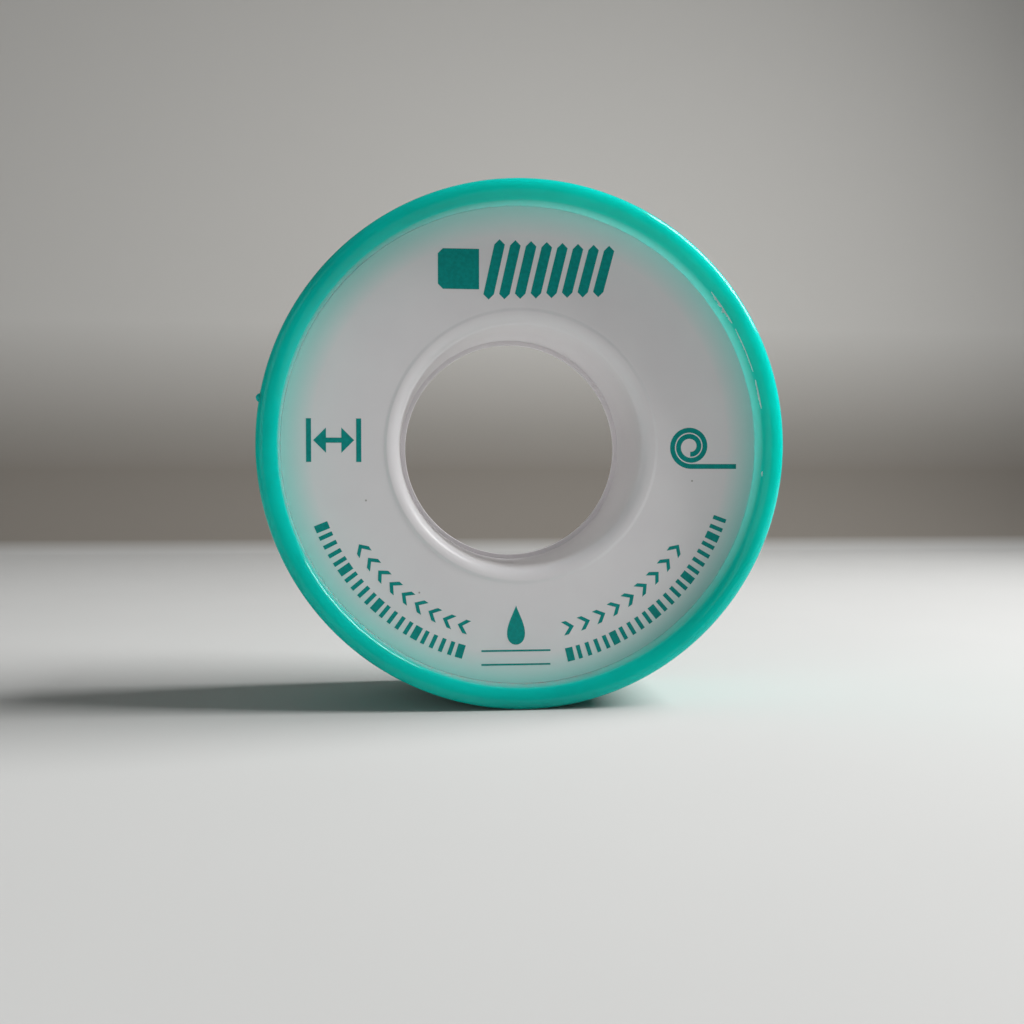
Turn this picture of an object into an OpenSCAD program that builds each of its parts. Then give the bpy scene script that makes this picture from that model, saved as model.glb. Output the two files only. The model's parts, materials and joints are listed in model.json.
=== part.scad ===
// Thread seal tape roll: a reel of tape that pushes into a cup-shaped shell.
// The roll stands on its rim with the axis along Y. The face of the reel looks towards -Y.
// The origin is on the axis, half way between the front of the rim and the back of the shell.

/* [Tape] */
// Width of the tape
tape_width = 12; // [6:0.5:25]
// Length of tape on a full roll
tape_length = 10000; // [3000:500:20000]
// Radial step from one turn to the next
tape_pitch = 0.085; // [0.06:0.005:0.15]
// Thickness of the loose last turn
end_t = 0.3; // [0.2:0.05:0.5]
// Gap between the last turn and the turns under it
end_gap = 0.1; // [0.06:0.02:0.3]
// Angle over which the last turn lies round the winding before its end lifts off
end_wrap = 250; // [180:5:270]
// Angle over which the free end lifts off the winding
end_lift_angle = 60; // [30:5:75]

/* [Reel] */
// Diameter of the bore
bore_d = 24.6; // [16:0.2:40]
// Thickness of the hub tube
hub_wall = 1.1; // [1:0.1:3]
// How far the hub steps in where it enters the back of the shell
hub_step = 0.4; // [0.2:0.05:0.6]
// Thickness of the flange
flange_t = 1; // [0.6:0.1:3]
// Rounding of the flange's outer edge
flange_round = 0.25; // [0.1:0.05:0.3]
// Width of the raised collar round the mouth of the bore
collar_w = 1.3; // [1.1:0.1:3]
// Height of the collar above the flange
collar_h = 0.25; // [0.2:0.05:0.9]
// Rounding of the collar's outer edge
collar_round = 0.15; // [0.05:0.05:0.2]
// Rounding of the mouth of the bore
mouth_round = 1; // [0.4:0.1:1.1]
// How far the lip stands into the far end of the bore
lip_w = 0.5; // [0.1:0.05:1]
// Thickness of the lip along the axis
lip_t = 0.5; // [0.3:0.1:1]

/* [Shell] */
// Thickness of the outer wall
shell_wall = 1.4; // [1.2:0.1:3]
// Thickness of the back wall
back_t = 1; // [0.6:0.1:3]
// Free height between the winding and the outer wall
headroom = 3.4; // [2.5:0.1:8]
// How far the rim stands in from the outer wall
rim_lip = 0.7; // [0.3:0.05:1.2]
// How far the rim stands in front of the flange
rim_proud = 3.2; // [2:0.1:6]
// Rounding of the rim's outer front edge
rim_round = 0.8; // [0.4:0.05:1]
// How far the rim's front falls away, in one arc, to its inner edge
rim_drop = 1; // [0.4:0.05:1.3]
// Rounding of the outer back edge
back_round = 0.9; // [0.2:0.1:1.1]

/* [Fits] */
// Gap between the flange's edge and the rim
flange_gap = 0.1; // [0.05:0.05:0.4]
// Gap between the hub's end and the hole in the back wall
hole_gap = 0.08; // [0.04:0.02:0.2]
// Gap between the tape's edges and the walls on either side
tape_side_gap = 0.1; // [0.05:0.05:0.5]
// Gap between the hub's shoulder and the back wall it seats on
seat_gap = 0.05; // [0.02:0.01:0.1]
// How far the hub's end lies below the back of the shell
end_recess = 0.1; // [0.05:0.05:0.4]
// Least gap between the free end of the tape and the rim it passes
end_clear = 0.5; // [0.2:0.1:1]

/* [Hidden] */
$fn = 96;

reel_white = "whitesmoke";
shell_green = "lightseagreen";
tape_white = "white";

// Radii, from the bore outwards
bore_r = bore_d / 2;
hub_r = bore_r + hub_wall;
tip_r = hub_r - hub_step;
hole_r = tip_r + hole_gap;
collar_r = bore_r + collar_w;
winding_r = sqrt(hub_r * hub_r + tape_length * tape_pitch / PI);
cavity_r = winding_r + headroom;
outer_r = cavity_r + shell_wall;
rim_open_r = cavity_r - rim_lip;
rim_crest_r = outer_r - rim_round;
rim_fall = min(rim_drop, rim_crest_r - rim_open_r);
rim_arc_r = (pow(rim_crest_r - rim_open_r, 2) + pow(rim_fall, 2)) / (2 * rim_fall);
flange_r = rim_open_r - flange_gap;
end_r = winding_r + end_gap;
end_lift = rim_open_r - end_clear - end_t - end_r;

// Stations along the axis, from the front of the rim to the back of the shell
tape_room = tape_width + 2 * tape_side_gap;
overall_w = rim_proud + flange_t + tape_room + back_t;
front_y = -overall_w / 2;
back_y = overall_w / 2;
flange_y = front_y + rim_proud;
collar_y = flange_y - collar_h;
tape_y = flange_y + flange_t + tape_side_gap;
back_in_y = back_y - back_t;
shoulder_y = back_in_y - seat_gap;
hub_end_y = back_y - end_recess;
land_y = flange_y + flange_t;

// Step of the points along the last turn of tape
end_step = 5;
// Reach of a cutting shape past the surface that it cuts
cut = 1;

// Turns a section, drawn as radius and station, about the Y axis
module lathe() {
    rotate([-90, 0, 0])
        rotate_extrude()
            children();
}

// Rectangle of a section between two radii and two stations
module band(r1, r2, y1, y2) {
    translate([r1, y1])
        square([r2 - r1, y2 - y1]);
}

// What a rounding of radius r takes off a corner at the origin, with the solid towards sx and sy
module corner_cut(r, sx, sy) {
    scale([sx, sy])
        difference() {
            translate([-cut, -cut])
                square(r + cut);
            translate([r, r])
                circle(r);
        }
}

module reel_section() {
    difference() {
        union() {
            band(bore_r, flange_r, flange_y, flange_y + flange_t);
            band(bore_r, hub_r, flange_y, shoulder_y);
            band(bore_r, tip_r, flange_y, hub_end_y);
            band(bore_r - lip_w, tip_r, hub_end_y - lip_t, hub_end_y);
            band(bore_r, collar_r, collar_y, flange_y + flange_t);
        }
        translate([flange_r, flange_y])
            corner_cut(flange_round, -1, 1);
        translate([collar_r, collar_y])
            corner_cut(collar_round, -1, 1);
        translate([bore_r, collar_y])
            corner_cut(mouth_round, 1, 1);
    }
}

module reel() {
    color(reel_white)
        lathe()
            reel_section();
}

// Rim before its front is rounded, with a slope at its back where it runs out into the wall
module rim_section() {
    polygon([
        [rim_open_r, front_y],
        [outer_r, front_y],
        [outer_r, land_y + rim_lip],
        [cavity_r, land_y + rim_lip],
        [rim_open_r, land_y]
    ]);
}

module shell_section() {
    difference() {
        union() {
            band(cavity_r, outer_r, front_y, back_y);
            band(hole_r, outer_r, back_in_y, back_y);
            rim_section();
        }
        translate([outer_r, front_y])
            corner_cut(rim_round, -1, 1);
        translate([rim_crest_r - rim_arc_r, front_y])
            corner_cut(rim_arc_r, 1, 1);
        translate([outer_r, back_y])
            corner_cut(back_round, -1, -1);
    }
}

module shell() {
    color(shell_green)
        lathe()
            shell_section();
}

module tape_winding() {
    color(tape_white)
        lathe()
            band(hub_r, winding_r, tape_y, tape_y + tape_width);
}

// Inner radius of the last turn at an angle along it: round at first, then lifting off smoothly
function end_radius(a) =
    let (t = max(0, (a - end_wrap) / end_lift_angle))
    end_r + end_lift * t * t;

module tape_end() {
    angles = [0 : end_step : end_wrap + end_lift_angle];
    inner = [for (a = angles) end_radius(a) * [cos(a), sin(a)]];
    outer = [for (a = angles) (end_radius(a) + end_t) * [cos(a), sin(a)]];
    count = len(inner);
    color(tape_white)
        translate([0, tape_y, 0])
            rotate([-90, 0, 0])
                linear_extrude(tape_width)
                    polygon([for (i = [0 : 2 * count - 1]) i < count ? inner[i] : outer[2 * count - 1 - i]]);
}

reel();
shell();
tape_winding();
tape_end();
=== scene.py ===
"""Looks of a thread seal tape roll: a printed reel of tape that pushes into a cup-shaped shell.

Sizes are in millimetres and become metres where a mesh is made. The axis of the roll is Y and its
face looks towards -Y. Angles on the face are in degrees, anticlockwise from +X.
"""

import json
import math

import bmesh
import bpy
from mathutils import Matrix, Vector, noise


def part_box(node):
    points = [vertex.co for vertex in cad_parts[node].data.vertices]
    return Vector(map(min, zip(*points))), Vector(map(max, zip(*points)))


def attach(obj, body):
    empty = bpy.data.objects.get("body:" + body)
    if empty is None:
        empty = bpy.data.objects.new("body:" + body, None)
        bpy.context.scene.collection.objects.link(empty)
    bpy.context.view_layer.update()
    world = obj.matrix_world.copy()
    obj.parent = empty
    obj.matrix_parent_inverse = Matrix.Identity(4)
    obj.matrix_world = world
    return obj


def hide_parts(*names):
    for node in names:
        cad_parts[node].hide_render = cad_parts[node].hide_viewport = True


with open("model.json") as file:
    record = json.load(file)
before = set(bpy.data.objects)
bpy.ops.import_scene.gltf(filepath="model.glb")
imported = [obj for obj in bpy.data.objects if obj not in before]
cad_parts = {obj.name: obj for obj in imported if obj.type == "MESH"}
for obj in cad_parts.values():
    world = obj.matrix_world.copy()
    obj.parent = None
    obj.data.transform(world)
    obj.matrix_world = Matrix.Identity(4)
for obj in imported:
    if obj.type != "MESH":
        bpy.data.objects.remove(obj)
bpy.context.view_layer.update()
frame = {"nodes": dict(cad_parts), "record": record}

MM = 0.001


def radii(node):
    """Least and greatest distance of a node's points from the axis."""
    found = [math.hypot(v.co.x, v.co.z) / MM for v in frame["nodes"][node].data.vertices]
    return min(found), max(found)


def stations(node):
    """Where a node begins and ends along the axis."""
    low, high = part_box(node)
    return low.y / MM, high.y / MM


def mount(name):
    return next(m for m in frame["record"]["mounts"] if m["name"] == name)


# Sizes taken from the frame
LIP_R, FLANGE_R = radii("reel")
HOLE_R, OUTER_R = radii("shell")
HUB_R, WINDING_R = radii("tape_winding")
END_R, END_TOP_R = radii("tape_end")
COLLAR_Y, HUB_END_Y = stations("reel")
FRONT_Y, BACK_Y = stations("shell")
TAPE_FRONT_Y, TAPE_BACK_Y = stations("tape_winding")
BORE_R = mount("bore")["dims"]["r_mm"]

# Sizes of the reel. FLANGE_FIT carries the flange's edge up to the rim. COLLAR_H is the height in the
# frame, COLLAR_RISE the lower one that shows, and COLLAR_SIDE the width of the collar's soft side.
FLANGE_T = 1.0
FLANGE_ROUND = 0.006
FLANGE_FIT = 0.098
COLLAR_W = 1.6
COLLAR_H = 0.25
COLLAR_RISE = 0.09
COLLAR_SIDE = 0.4
MOUTH_ROUND = 1.25
LIP_T = 0.5
LIP_ROUND = 0.12
HUB_STEP = 0.4
SEAT_GAP = 0.05
EDGE_BREAK = 0.1
FLANGE_Y = COLLAR_Y + COLLAR_H
RING_Y = FLANGE_Y - COLLAR_RISE
LAND_Y = FLANGE_Y + FLANGE_T
TIP_R = HUB_R - HUB_STEP

# Sizes of the shell. RIM_TILT is how steeply the rim's front falls, in degrees, at its inner edge.
SHELL_WALL = 1.4
BACK_T = 1.0
RIM_ROUND = 0.8
RIM_EDGE = 0.3
RIM_TILT = 45
BACK_ROUND = 0.9
FLANGE_GAP = 0.1
CAVITY_R = OUTER_R - SHELL_WALL
RIM_OPEN_R = FLANGE_R + FLANGE_GAP
RIM_LIP = CAVITY_R - RIM_OPEN_R
RIM_CREST_R = OUTER_R - RIM_ROUND
RIM_EDGE_R = RIM_OPEN_R + RIM_EDGE * (1 - math.sin(math.radians(RIM_TILT)))
RIM_ARC_R = (RIM_CREST_R - RIM_EDGE_R) / math.sin(math.radians(RIM_TILT))
RIM_EDGE_Y = FRONT_Y + RIM_ARC_R - (RIM_ARC_R - RIM_EDGE) * math.cos(math.radians(RIM_TILT))
BACK_IN_Y = BACK_Y - BACK_T
SHOULDER_Y = BACK_IN_Y - SEAT_GAP

# Sizes of the tape
TAPE_PITCH = 0.085
FILM_T = 0.075
END_T = 0.3
END_WRAP = 250
END_LIFT_ANGLE = 60
END_LIFT = END_TOP_R - END_T - END_R

# Fineness of the meshes
TURN_STEPS = 360
ARC_STEPS = 10
SUPPORT = 0.06
SMOOTH_ANGLE = math.radians(40)


# Meshes

def face_point(r, angle, y):
    """Point at a radius and an angle on the face, at a station along the axis."""
    a = math.radians(angle)
    return Vector((r * math.cos(a), y, r * math.sin(a)))


def arc(r, y, radius, start, end, steps=ARC_STEPS):
    """Arc of a section about (r, y), from one angle to another, with 90 degrees towards +Y."""
    turns = [math.radians(start + (end - start) * i / steps) for i in range(steps + 1)]
    return [(r + radius * math.cos(a), y + radius * math.sin(a)) for a in turns]


def smooth(t):
    """Eased share of a way that is linear from 0 to 1."""
    return t * t * (3 - 2 * t)


def with_support(section):
    """The section with points close to the ends of its long straight runs, which keep flats flat."""
    made = []
    for a, b in zip(section, section[1:] + section[:1]):
        a, b = Vector(a), Vector(b)
        made.append(a)
        run = b - a
        if run.length > 4 * SUPPORT:
            made.append(a + run.normalized() * SUPPORT)
            made.append(b - run.normalized() * SUPPORT)
    return made


def lathe(section):
    """Points and faces of a closed section of (radius, station) pairs turned about the axis."""
    section = with_support(section)
    count = len(section)
    points = []
    faces = []
    for i in range(TURN_STEPS):
        j = (i + 1) % TURN_STEPS
        points += [face_point(r, 360 * i / TURN_STEPS, y) for r, y in section]
        for k in range(count):
            m = (k + 1) % count
            faces.append((i * count + k, i * count + m, j * count + m, j * count + k))
    return points, faces


def slab(lower, upper):
    """Points and faces of a closed slab between two equal grids of points, given as rows."""
    rows, columns = len(lower), len(lower[0])
    half = rows * columns
    points = [p for row in lower for p in row] + [p for row in upper for p in row]
    faces = []
    for i in range(rows - 1):
        for j in range(columns - 1):
            a = i * columns + j
            quad = (a, a + 1, a + columns + 1, a + columns)
            faces.append(quad)
            faces.append(tuple(half + k for k in reversed(quad)))
    edge = list(range(columns))
    edge += [i * columns + columns - 1 for i in range(1, rows)]
    edge += [(rows - 1) * columns + j for j in reversed(range(columns - 1))]
    edge += [i * columns for i in reversed(range(1, rows - 1))]
    for a, b in zip(edge, edge[1:] + edge[:1]):
        faces.append((a, half + a, half + b, b))
    return points, faces


def prisms(outlines, front, back):
    """Points and faces of flat shapes on the face, each a list of (x, z), between two stations."""
    points = []
    faces = []
    for outline in outlines:
        first = len(points)
        count = len(outline)
        points += [Vector((x, front, z)) for x, z in outline]
        points += [Vector((x, back, z)) for x, z in outline]
        faces.append(tuple(range(first, first + count)))
        faces.append(tuple(range(first + 2 * count - 1, first + count - 1, -1)))
        for k in range(count):
            m = (k + 1) % count
            faces.append((first + k, first + count + k, first + count + m, first + m))
    return points, faces


def piece(name, shape, material, body, slot, *replaced):
    """Object made of points in millimetres and faces, which rides on a body."""
    points, faces = shape
    mesh = bpy.data.meshes.new(name)
    mesh.from_pydata([p * MM for p in points], [], faces)
    made = bmesh.new()
    made.from_mesh(mesh)
    bmesh.ops.recalc_face_normals(made, faces=made.faces)
    made.to_mesh(mesh)
    made.free()
    mesh.polygons.foreach_set("use_smooth", [True] * len(mesh.polygons))
    mesh.set_sharp_from_angle(angle=SMOOTH_ANGLE)
    mesh.materials.append(material)
    obj = bpy.data.objects.new(name, mesh)
    bpy.context.scene.collection.objects.link(obj)
    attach(obj, body)
    if replaced:
        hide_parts(*replaced)
    return obj


# Materials

def new_material(name):
    """Material with its node tree and its shader."""
    material = bpy.data.materials.new(name)
    material.use_nodes = True
    tree = material.node_tree
    return material, tree, tree.nodes["Principled BSDF"]


def set_inputs(node, values):
    for name, value in values.items():
        node.inputs[name].default_value = value


def grain(tree, size, detail=2.0, stretch=(1, 1, 1)):
    """Noise with features of about one size in millimetres, finer along an axis that is stretched."""
    place = tree.nodes.new("ShaderNodeTexCoord")
    scale = tree.nodes.new("ShaderNodeMapping")
    scale.inputs["Scale"].default_value = stretch
    made = tree.nodes.new("ShaderNodeTexNoise")
    set_inputs(made, {"Scale": 1 / (size * MM), "Detail": detail})
    tree.links.new(place.outputs["Object"], scale.inputs["Vector"])
    tree.links.new(scale.outputs["Vector"], made.inputs["Vector"])
    return made.outputs["Fac"]


def spread(tree, source, low, high, start=0.3, end=0.7):
    """A value that goes from low to high as the source goes from start to end."""
    made = tree.nodes.new("ShaderNodeMapRange")
    set_inputs(made, {"From Min": start, "From Max": end, "To Min": low, "To Max": high})
    tree.links.new(source, made.inputs["Value"])
    return made.outputs["Result"]


def axis_distance(tree):
    """Distance from the axis of the roll."""
    place = tree.nodes.new("ShaderNodeTexCoord")
    flat = tree.nodes.new("ShaderNodeMapping")
    flat.inputs["Scale"].default_value = (1, 0, 1)
    made = tree.nodes.new("ShaderNodeVectorMath")
    made.operation = "LENGTH"
    tree.links.new(place.outputs["Object"], flat.inputs["Vector"])
    tree.links.new(flat.outputs["Vector"], made.inputs[0])
    return made.outputs["Value"]


def coordinate(tree, axis):
    """Place along an axis of the frame."""
    place = tree.nodes.new("ShaderNodeTexCoord")
    split = tree.nodes.new("ShaderNodeSeparateXYZ")
    tree.links.new(place.outputs["Object"], split.inputs["Vector"])
    return split.outputs[axis]


def flecks(tree, apart, size):
    """Share that is 1 in a few small spots, which lie about so many millimetres apart in space."""
    core = 0.6
    place = tree.nodes.new("ShaderNodeTexCoord")
    made = tree.nodes.new("ShaderNodeTexVoronoi")
    set_inputs(made, {"Scale": 1 / (apart * MM)})
    tree.links.new(place.outputs["Object"], made.inputs["Vector"])
    return spread(tree, made.outputs["Distance"], 1, 0, core * size / apart, size / apart)


def mix_colors(tree, share, first, second):
    """Colour between two others. Each is a colour or the output of a node."""
    made = tree.nodes.new("ShaderNodeMix")
    made.data_type = "RGBA"
    ends = [s for s in made.inputs if s.type == "RGBA"]
    tree.links.new(share, made.inputs["Factor"])
    for socket, value in zip(ends, (first, second)):
        if isinstance(value, tuple):
            socket.default_value = (*value, 1)
        else:
            tree.links.new(value, socket)
    return next(s for s in made.outputs if s.type == "RGBA")


def add_bump(tree, shader, heights):
    """Bumps laid over each other, each a height and its depth in millimetres."""
    below = None
    for height, depth in heights:
        made = tree.nodes.new("ShaderNodeBump")
        set_inputs(made, {"Strength": 1.0, "Distance": depth * MM})
        tree.links.new(height, made.inputs["Height"])
        if below:
            tree.links.new(below, made.inputs["Normal"])
        below = made.outputs["Normal"]
    tree.links.new(below, shader.inputs["Normal"])


def reel_material():
    """Satin white polypropylene with a few grey flecks.

    Past the winding the flange is painted green towards its edge, a painted glow that stands in for the
    green light coming through the shell's rim.
    """
    painted_green_light_from = 21
    fleck_apart, fleck_size = 5, 0.12
    cloud_size, gloss_size = 6, 1.2
    wave_size, wave_depth = 4, 0.006
    material, tree, shader = new_material("reel_plastic")
    cloud = grain(tree, cloud_size)
    base = mix_colors(tree, spread(tree, cloud, 0, 1), (0.845, 0.815, 0.83), (0.875, 0.85, 0.86))
    # Painted light: this green stands in for light through the green rim, and grows towards the flange's
    # edge.
    edge = spread(tree, axis_distance(tree), 0, 1, painted_green_light_from * MM, FLANGE_R * MM)
    base = mix_colors(tree, edge, base, (0.54, 0.85, 0.815))
    base = mix_colors(tree, flecks(tree, fleck_apart, fleck_size), base, (0.4, 0.38, 0.36))
    tree.links.new(base, shader.inputs["Base Color"])
    tree.links.new(spread(tree, grain(tree, gloss_size), 0.3, 0.38), shader.inputs["Roughness"])
    set_inputs(shader, {"Specular IOR Level": 0.5})
    add_bump(tree, shader, [(grain(tree, wave_size), wave_depth)])
    return material


def shell_material():
    """Glossy translucent green polypropylene with faint flow clouds.

    The rim's inner wall is painted paler towards the white flange: painted light for the light on that wall
    and in its corner by the flange.
    """
    painted_light_to, green_from = RIM_OPEN_R + 0.01, RIM_OPEN_R + 0.2
    cloud_size, gloss_size = 5, 0.8
    wave_size, wave_depth = 3, 0.004
    grit_size, grit_depth = 0.25, 0.0006
    glow_reach = 7.0
    material, tree, shader = new_material("shell_plastic")
    cloud = grain(tree, cloud_size)
    base = mix_colors(tree, spread(tree, cloud, 0, 1), (0.0, 0.42, 0.355), (0.0, 0.465, 0.395))
    station = coordinate(tree, "Y")
    depth = spread(tree, station, 0, 1, RIM_EDGE_Y * MM, FLANGE_Y * MM)
    # Painted light: the rim's inner wall grows paler back to the flange, standing in for the light that
    # falls on it and glows in it.
    wall = mix_colors(tree, depth, (0.01, 0.47, 0.4), (0.36, 0.78, 0.72))
    edge = spread(tree, axis_distance(tree), 0, 1, painted_light_to * MM, green_from * MM)
    front = mix_colors(tree, edge, wall, base)
    behind = spread(tree, station, 0, 1, FLANGE_Y * MM, LAND_Y * MM)
    base = mix_colors(tree, behind, front, base)
    tree.links.new(base, shader.inputs["Base Color"])
    tree.links.new(spread(tree, grain(tree, gloss_size), 0.09, 0.15), shader.inputs["Roughness"])
    set_inputs(shader, {
        "Subsurface Weight": 1.0,
        "Subsurface Radius": (0.1, 1.0, 0.95),
        "Subsurface Scale": glow_reach * MM,
        "Specular IOR Level": 0.22,
    })
    waves = (grain(tree, wave_size), wave_depth)
    grit = (grain(tree, grit_size), grit_depth)
    add_bump(tree, shader, [waves, grit])
    return material


def flash_material():
    """Thin torn polypropylene, whitened where it was bent, whose near-white is also a painted highlight of
    light glowing through the thin flash.
    """
    patch_size, gloss_size = 0.3, 0.2
    bump_size, bump_depth = 0.25, 0.004
    material, tree, shader = new_material("shell_flash")
    patch = spread(tree, grain(tree, patch_size), 0, 1)
    # Partly real whitening, partly painted highlight: the pale cyan stands in for light glowing through the
    # thin flash.
    base = mix_colors(tree, patch, (0.66, 0.97, 0.93), (0.92, 1.0, 0.99))
    tree.links.new(base, shader.inputs["Base Color"])
    tree.links.new(spread(tree, grain(tree, gloss_size), 0.2, 0.4), shader.inputs["Roughness"])
    add_bump(tree, shader, [(grain(tree, bump_size), bump_depth)])
    return material


def tape_material():
    """White PTFE film with a waxy sheen and fine lines along its length."""
    line_size, line_detail, line_stretch, line_depth = 3, 3, (0.15, 12, 0.15), 0.01
    crease_size, crease_depth = 0.6, 0.006
    glow_reach = 0.5
    material, tree, shader = new_material("tape")
    lines = grain(tree, line_size, line_detail, line_stretch)
    base = mix_colors(tree, spread(tree, lines, 0, 1), (0.84, 0.84, 0.83), (0.9, 0.9, 0.895))
    tree.links.new(base, shader.inputs["Base Color"])
    tree.links.new(spread(tree, lines, 0.42, 0.6), shader.inputs["Roughness"])
    set_inputs(shader, {
        "Subsurface Weight": 0.6,
        "Subsurface Radius": (1.0, 1.0, 1.0),
        "Subsurface Scale": glow_reach * MM,
        "Sheen Weight": 0.15,
    })
    add_bump(tree, shader, [(lines, line_depth), (grain(tree, crease_size), crease_depth)])
    return material


def ink_material():
    """Teal printing ink, a little uneven where the plastic took it."""
    patch_size, patch_detail = 0.35, 3
    grit_size, grit_depth = 0.12, 0.002
    material, tree, shader = new_material("print_ink")
    patch = grain(tree, patch_size, patch_detail)
    base = mix_colors(tree, spread(tree, patch, 0, 1), (0.0, 0.26, 0.235), (0.0, 0.335, 0.305))
    tree.links.new(base, shader.inputs["Base Color"])
    tree.links.new(spread(tree, patch, 0.35, 0.5), shader.inputs["Roughness"])
    set_inputs(shader, {"Specular IOR Level": 0.2})
    add_bump(tree, shader, [(grain(tree, grit_size), grit_depth)])
    return material


def stage_material():
    """Plain pale matt floor that turns into a grey backdrop, which is darker low down."""
    ground = -OUTER_R
    wall_from, wall_full = ground + 0.5, ground + 4
    dark_to, pale_from = 0, 50
    cloud_size = 40
    material, tree, shader = new_material("stage")
    height = coordinate(tree, "Z")
    floor = mix_colors(tree, grain(tree, cloud_size), (0.59, 0.59, 0.58), (0.62, 0.62, 0.61))
    rise = spread(tree, height, 0, 1, dark_to * MM, pale_from * MM)
    wall = mix_colors(tree, rise, (0.285, 0.26, 0.23), (0.715, 0.7, 0.67))
    change = spread(tree, height, 0, 1, wall_from * MM, wall_full * MM)
    tone = mix_colors(tree, change, floor, wall)
    tree.links.new(tone, shader.inputs["Base Color"])
    set_inputs(shader, {"Roughness": 0.85, "Specular IOR Level": 0.2})
    return material


# Pieces of the roll

def shell_section():
    """Section of the shell, from the inner edge of the rim round its outside and back inside."""
    return [
        *arc(RIM_OPEN_R + RIM_EDGE, RIM_EDGE_Y, RIM_EDGE, -180, -90 - RIM_TILT),
        *arc(RIM_CREST_R, FRONT_Y + RIM_ARC_R, RIM_ARC_R, -90 - RIM_TILT, -90, 2 * ARC_STEPS)[1:],
        *arc(RIM_CREST_R, FRONT_Y + RIM_ROUND, RIM_ROUND, -90, 0, 2 * ARC_STEPS)[1:],
        *arc(OUTER_R - BACK_ROUND, BACK_Y - BACK_ROUND, BACK_ROUND, 0, 90),
        *arc(HOLE_R + EDGE_BREAK, BACK_Y - EDGE_BREAK, EDGE_BREAK, 90, 180, 4),
        (HOLE_R, BACK_IN_Y),
        (CAVITY_R, BACK_IN_Y),
        (CAVITY_R, LAND_Y + RIM_LIP),
        (RIM_OPEN_R, LAND_Y),
    ]


def flash():
    """Ragged thin flash that was left along parts of the rim's inner edge where the mould closes."""
    spans = [(30.5, 39.5, 0.42), (18, 29, 0.17), (9, 16, 0.28), (-7.2, -6, 0.2)]
    sink, thick, tip = 0.12, 0.06, 0.02
    lean = Vector((-0.9, -0.436))
    across = Vector((0.436, -0.9))
    foot = Vector((RIM_EDGE_R, FRONT_Y + RIM_ARC_R * (1 - math.cos(math.radians(RIM_TILT)))))
    step = 0.15
    mean, coarse_share, fine_share, least = 0.55, 0.6, 0.4, 0.12
    bend = 0.6
    points = []
    faces = []
    for start, end, tall in spans:
        lower = []
        upper = []
        count = max(4, int((end - start) / step))
        for i in range(count + 1):
            angle = start + (end - start) * i / count
            ease = max(0, math.sin(math.pi * i / count)) ** 0.5
            coarse = noise.noise(Vector((angle * 1.1, 3, 0)))
            fine = noise.noise(Vector((angle * 4, 8, 0)))
            ragged = mean + coarse_share * coarse + fine_share * fine
            height = tall * ease * max(least, ragged)
            stations_up = [(-sink, thick), (0, thick), (bend * height, (thick + tip) / 2), (height, tip)]
            low_row = []
            high_row = []
            for rise, width in stations_up:
                r, y = foot + lean * rise - across * width / 2
                low_row.append(face_point(r, angle, y))
                r, y = foot + lean * rise + across * width / 2
                high_row.append(face_point(r, angle, y))
            lower.append(low_row)
            upper.append(high_row)
        first = len(points)
        more, sides = slab(lower, upper)
        points += more
        faces += [tuple(first + k for k in side) for side in sides]
    return points, faces


def nub():
    """Small burr on the outside of the rim."""
    angle, along, tall, sink = 170, 0.45, 0.32, 0.12
    flat, least = 0.8, 0.02
    y = FRONT_Y + RIM_ROUND
    points = []
    faces = []
    rings, sides = 6, 14
    out = face_point(1, angle, 0)
    side = face_point(1, angle + 90, 0)
    for i in range(rings + 1):
        rise = i / rings
        width = along * math.sqrt(max(least, 1 - rise * rise))
        for j in range(sides):
            a = 2 * math.pi * j / sides
            place = out * (OUTER_R - sink + (tall + sink) * rise) + Vector((0, y, 0))
            points.append(place + side * width * math.cos(a) + Vector((0, flat * width * math.sin(a), 0)))
    for i in range(rings):
        for j in range(sides):
            k = (j + 1) % sides
            faces.append((i * sides + j, i * sides + k, (i + 1) * sides + k, (i + 1) * sides + j))
    faces.append(tuple(reversed(range(sides))))
    faces.append(tuple(range(rings * sides, (rings + 1) * sides)))
    return points, faces


def reel_section():
    """Section of the reel, from the mouth of the bore over the flange and along the hub to the lip."""
    collar_r = BORE_R + COLLAR_W
    edge_r = FLANGE_R + FLANGE_FIT
    side = []
    for i in range(ARC_STEPS + 1):
        t = i / ARC_STEPS
        side.append((collar_r + COLLAR_SIDE * (t - 1), RING_Y + COLLAR_RISE * smooth(t)))
    return [
        *arc(BORE_R + MOUTH_ROUND, RING_Y + MOUTH_ROUND, MOUTH_ROUND, 180, 270, 2 * ARC_STEPS),
        *side,
        *arc(edge_r - FLANGE_ROUND, FLANGE_Y + FLANGE_ROUND, FLANGE_ROUND, -90, 0, 4),
        (edge_r, LAND_Y),
        (HUB_R, LAND_Y),
        (HUB_R, SHOULDER_Y),
        (TIP_R, SHOULDER_Y),
        *arc(TIP_R - EDGE_BREAK, HUB_END_Y - EDGE_BREAK, EDGE_BREAK, 0, 90, 4),
        *arc(LIP_R + LIP_ROUND, HUB_END_Y - LIP_ROUND, LIP_ROUND, 90, 180, 5),
        *arc(LIP_R + LIP_ROUND, HUB_END_Y - LIP_T + LIP_ROUND, LIP_ROUND, 180, 270, 5),
        (BORE_R, HUB_END_Y - LIP_T),
    ]


def tape_point(r, angle, y):
    """Point of the tape, which runs clockwise as seen from the face."""
    return face_point(r, -angle, y)


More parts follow.
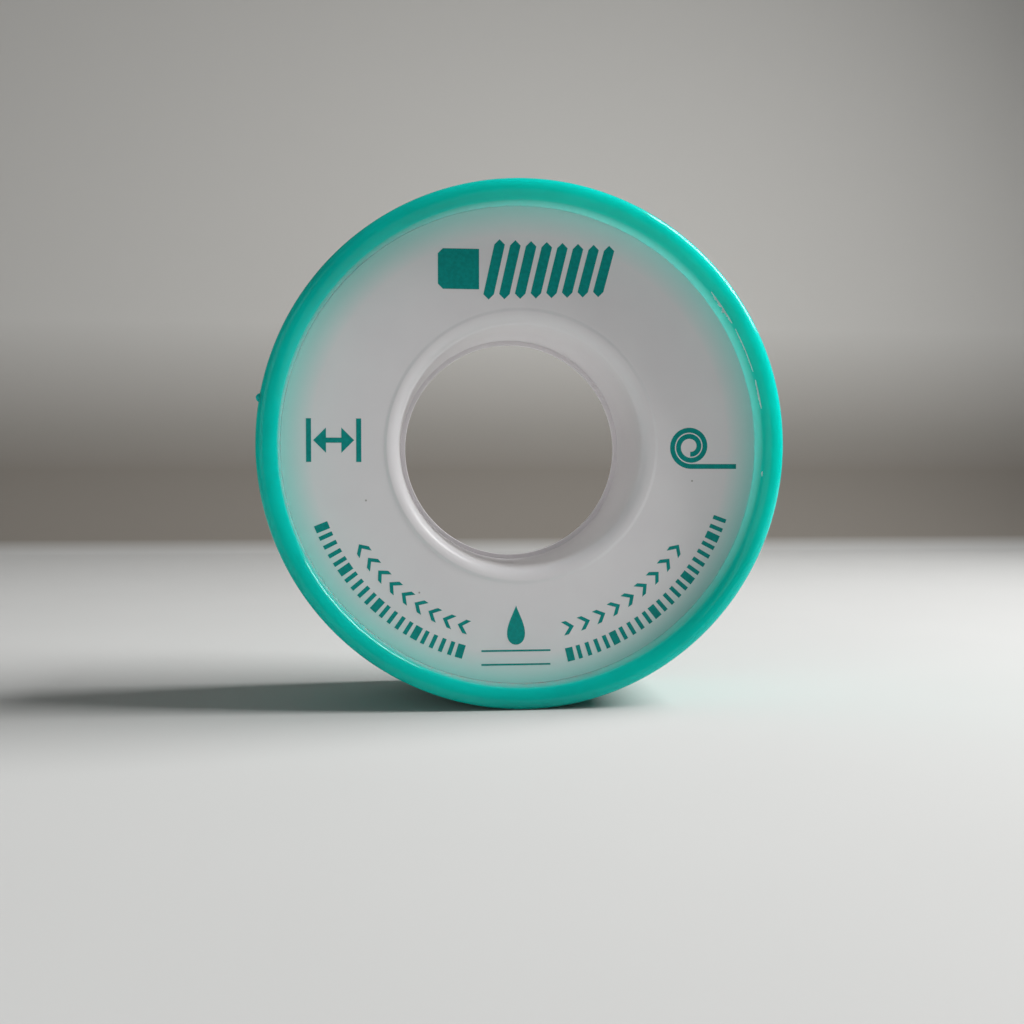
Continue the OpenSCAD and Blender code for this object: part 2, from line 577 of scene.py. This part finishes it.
def tape_winding():
    """The tape as one spiral strip, whose edges wander a little from turn to turn."""
    turns = (WINDING_R - HUB_R) / TAPE_PITCH
    step = 4
    wander = 0.05
    count = int(turns * 360 / step)
    lower = []
    upper = []
    for i in range(count + 1):
        angle = -turns * 360 + step * i
        turn = i * step / 360
        r = HUB_R + TAPE_PITCH * turn
        shift = wander * noise.noise(Vector((1.7 * turn, 0, 0)))
        shift += wander * 0.3 * noise.noise(Vector((0.3 * turn, 3 * math.cos(math.radians(angle)), 5)))
        ends = (TAPE_FRONT_Y + wander + shift, TAPE_BACK_Y - wander + shift)
        lower.append([tape_point(r, angle, y) for y in ends])
        upper.append([tape_point(r + FILM_T, angle, y) for y in ends])
    return slab(lower, upper)


def tape_tail():
    """The last turn, which lies just clear of the turns under it and lifts off to a torn end."""
    step = 2
    columns = 24
    ease_angle = 40
    tear = 3.0
    flutter = 0.12
    reach = END_WRAP + END_LIFT_ANGLE
    clear = 0.015
    start_r = WINDING_R + FILM_T + clear
    rest_r = END_R + (END_T - FILM_T) / 2
    lower = []
    upper = []
    for i in range(int(reach / step) + 1):
        angle = step * i
        settle = smooth(min(1, angle / ease_angle))
        lift = max(0, (angle - END_WRAP) / END_LIFT_ANGLE)
        r = start_r + (rest_r - start_r) * settle + END_LIFT * lift * lift
        low_row = []
        high_row = []
        for j in range(columns + 1):
            y = TAPE_FRONT_Y + (TAPE_BACK_Y - TAPE_FRONT_Y) * j / columns
            wave = flutter * lift * noise.noise(Vector((0.05 * angle, 0.3 * y, 2)))
            ragged = tear * max(0, lift) ** 6 * (noise.noise(Vector((0.9 * y, 7, 1))) - 0.5)
            low_row.append(tape_point(r + wave, angle + ragged, y))
            high_row.append(tape_point(r + wave + FILM_T, angle + ragged, y))
        lower.append(low_row)
        upper.append(high_row)
    return slab(lower, upper)


# Printing on the face

INK_T = 0.015
INK_SINK = 0.01


def polar(r, angle):
    a = math.radians(angle)
    return r * math.cos(a), r * math.sin(a)


def turned(outline, angle, x, z):
    """Outline turned about the origin and then moved to (x, z)."""
    a = math.radians(angle)
    c, s = math.cos(a), math.sin(a)
    return [(x + c * u - s * v, z + s * u + c * v) for u, v in outline]


def stroke(path, width):
    """Outline of a line of one width along a path of points."""
    left = []
    right = []
    for i, (x, z) in enumerate(path):
        before = path[max(0, i - 1)]
        after = path[min(len(path) - 1, i + 1)]
        along = Vector((after[0] - before[0], after[1] - before[1])).normalized()
        side = Vector((-along.y, along.x)) * width / 2
        left.append((x + side.x, z + side.y))
        right.append((x - side.x, z - side.y))
    return left + right[::-1]


def bar(width, height):
    x, z = width / 2, height / 2
    return [(-x, -z), (x, -z), (x, z), (-x, z)]


def thread_mark():
    """End of a pipe with a taper thread, seen from the side."""
    x, z = 0.15, 17.6
    pipe_w, pipe_h = 3.6, 4.0
    crests, pitch, crest_w = 8, 1.58, 1.05
    tall, taper, lean = 6.0, 0.12, 0.55
    start, gap = -8.6, 2.0
    corner = 0.5
    pipe = [
        (0, -pipe_h / 2), (pipe_w, -pipe_h / 2), (pipe_w, pipe_h / 2), (0, pipe_h / 2),
        (-corner, pipe_h / 2 - corner), (-corner, -pipe_h / 2 + corner),
    ]
    shapes = [turned(pipe, 0, x + start + corner, z)]
    for i in range(crests):
        half = (tall - taper * i) / 2
        side = crest_w / 2
        crest = [
            (-side - lean, -half + side), (-lean, -half), (side - lean, -half + side),
            (side + lean, half - side), (lean, half), (-side + lean, half - side),
        ]
        shapes.append(turned(crest, 0, x + start + pipe_w + gap + pitch * i, z))
    return shapes


def width_mark():
    """Double arrow between two bars."""
    x, z = -18.75, 0.55
    span, tall, line, head, gap = 5.4, 4.3, 0.5, 1.25, 0.2
    shapes = [turned(bar(line, tall), 0, x + side * (span - line) / 2, z) for side in (-1, 1)]
    tip = span / 2 - line - gap
    arrow = [
        (-tip, 0), (-tip + head, -head), (-tip + head, -line / 2),
        (tip - head, -line / 2), (tip - head, -head), (tip, 0),
        (tip - head, head), (tip - head, line / 2), (-tip + head, line / 2), (-tip + head, head),
    ]
    return shapes + [turned(arrow, 0, x, z)]


def length_mark():
    """Spiral with a tail: tape that comes off a roll."""
    x, z = 17.2, 0
    line, core, rim, turns = 0.5, 0.75, 2.0, 2
    tail = 4.8
    steps, tail_steps = 36, 6
    path = []
    for i in range(turns * steps + 1):
        path.append(polar(core + (rim - core) * i / (turns * steps), 360 * i / steps - 90))
    path += [(tail * i / tail_steps, -rim) for i in range(1, tail_steps + 1)]
    return [turned(stroke(path, line), 0, x, z)]


def tick_arc(r, start, end, count, tall, line):
    """Ticks along an arc, with every fifth one bolder."""
    every, bolder = 5, 1.8
    shapes = []
    for i in range(count):
        angle = start + (end - start) * i / (count - 1)
        bold = bolder if i % every == 0 else 1
        shapes.append(turned(bar(line * bold, tall), angle - 90, *polar(r, angle)))
    return shapes


def chevron_arc(r, start, end, count, tall, line):
    """Chevrons along an arc, which point the way that the angle goes."""
    depth = tall / 2
    shapes = []
    chevron = [
        (-line, -tall / 2), (0, -tall / 2), (depth, 0), (0, tall / 2), (-line, tall / 2), (depth - line, 0),
    ]
    for i in range(count):
        angle = start + (end - start) * i / (count - 1)
        way = 90 if end > start else -90
        shapes.append(turned(chevron, angle + way, *polar(r, angle)))
    return shapes


def drop_mark():
    """Drop of water over two rules."""
    x, z = -0.65, -18.0
    wide, tall = 2.6, 4.0
    rule_w, rule_t, rule_gap, rule_step = 7.0, 0.18, 0.6, 1.4
    drop = []
    steps = 40
    for i in range(steps):
        a = 2 * math.pi * i / steps
        drop.append((wide / 2 * math.sin(a) * math.sin(a / 2) ** 1.5, tall / 2 * math.cos(a)))
    shapes = [turned(drop, 0, x, z)]
    for i in range(2):
        shapes.append(turned(bar(rule_w, rule_t), 0, x, z - tall / 2 - rule_gap - rule_step * i))
    return shapes


def print_shapes():
    """Every mark on the face with its name."""
    return {
        "print_thread": thread_mark(),
        "print_width": width_mark(),
        "print_length": length_mark(),
        "print_ticks_left": tick_arc(r=21.5, start=-158, end=-107, count=21, tall=1.4, line=0.42),
        "print_chevrons_left": chevron_arc(r=19.0, start=-108, end=-147, count=9, tall=1.4, line=0.5),
        "print_chevrons_right": chevron_arc(r=18.9, start=-76, end=-34, count=9, tall=1.4, line=0.5),
        "print_ticks_right": tick_arc(r=21.6, start=-77, end=-20, count=23, tall=1.4, line=0.42),
        "print_drop": drop_mark(),
    }


# Stage

def make_stage():
    """Pale floor that sweeps up into a backdrop behind the roll."""
    near, far, wide, tall, sweep = -2500, 215, 2500, 1500, 40
    steps = 16
    ground = -OUTER_R
    profile = [(near, ground)]
    for i in range(steps + 1):
        a = math.radians(90 * i / steps)
        profile.append((far + sweep * math.sin(a), ground + sweep * (1 - math.cos(a))))
    profile.append((far + sweep, ground + tall))
    points = [Vector((side * wide, y, z)) * MM for y, z in profile for side in (-1, 1)]
    faces = [(2 * i, 2 * i + 1, 2 * i + 3, 2 * i + 2) for i in range(len(profile) - 1)]
    mesh = bpy.data.meshes.new("stage")
    mesh.from_pydata(points, [], faces)
    mesh.polygons.foreach_set("use_smooth", [True] * len(faces))
    mesh.materials.append(stage_material())
    stage = bpy.data.objects.new("stage", mesh)
    bpy.context.scene.collection.objects.link(stage)


def add_lamp(name, place, size, energy, beam):
    """Square soft light that looks at the roll, with a beam of so many degrees."""
    light = bpy.data.lights.new(name, "AREA")
    light.size = size * MM
    light.energy = energy
    light.spread = math.radians(beam)
    lamp = bpy.data.objects.new(name, light)
    lamp.location = place * MM
    lamp.rotation_euler = (-lamp.location).to_track_quat("-Z", "Y").to_euler()
    bpy.context.scene.collection.objects.link(lamp)


def make_light():
    """Soft key from the right and above, level with the face, and a weak fill from the left."""
    key_distance, key_rise, key_y = 420, 42, -15
    key_place = face_point(key_distance, key_rise, key_y)
    fill_place = Vector((-300, -400, 40))
    add_lamp("key", key_place, size=240, energy=0.96, beam=100)
    add_lamp("fill", fill_place, size=400, energy=0.34, beam=180)
    world = bpy.data.worlds.new("room")
    world.use_nodes = True
    tree = world.node_tree
    sky = tree.nodes["Background"]
    set_inputs(sky, {"Color": (0.98, 0.99, 1.0, 1), "Strength": 0.125})
    bpy.context.scene.world = world


def make_camera():
    """Camera that sees the roll as the photograph does."""
    lens, sensor = 37.3, 36
    place = Vector((-11.182, -111.642, -3.405))
    right, down = 5.448, 1.716
    camera = bpy.data.objects.new("camera", bpy.data.cameras.new("camera"))
    camera.data.lens = lens
    camera.data.sensor_width = sensor
    camera.data.clip_start = MM
    camera.location = place * MM
    camera.rotation_euler = (math.radians(90 - down), 0, math.radians(-right))
    bpy.context.scene.collection.objects.link(camera)
    bpy.context.scene.camera = camera


def make_roll():
    """Every piece of the roll with its material, its body and the node that it replaces."""
    white = reel_material()
    green = shell_material()
    torn = flash_material()
    film = tape_material()
    ink = ink_material()
    piece("shell_moulding", lathe(shell_section()), green, "shell", "shell_plastic", "shell")
    piece("shell_flash", flash(), torn, "shell", "shell_plastic")
    piece("shell_nub", nub(), green, "shell", "shell_plastic")
    piece("reel_moulding", lathe(reel_section()), white, "reel", "reel_plastic", "reel")
    piece("tape_turns", tape_winding(), film, "reel", "tape", "tape_winding")
    piece("tape_tail", tape_tail(), film, "tape_end", "tape", "tape_end")
    for name, shapes in print_shapes().items():
        piece(name, prisms(shapes, FLANGE_Y - INK_T, FLANGE_Y + INK_SINK), ink, "reel", "print_ink")


make_roll()
make_stage()
make_light()
make_camera()
bpy.context.scene.view_settings.view_transform = "Standard"
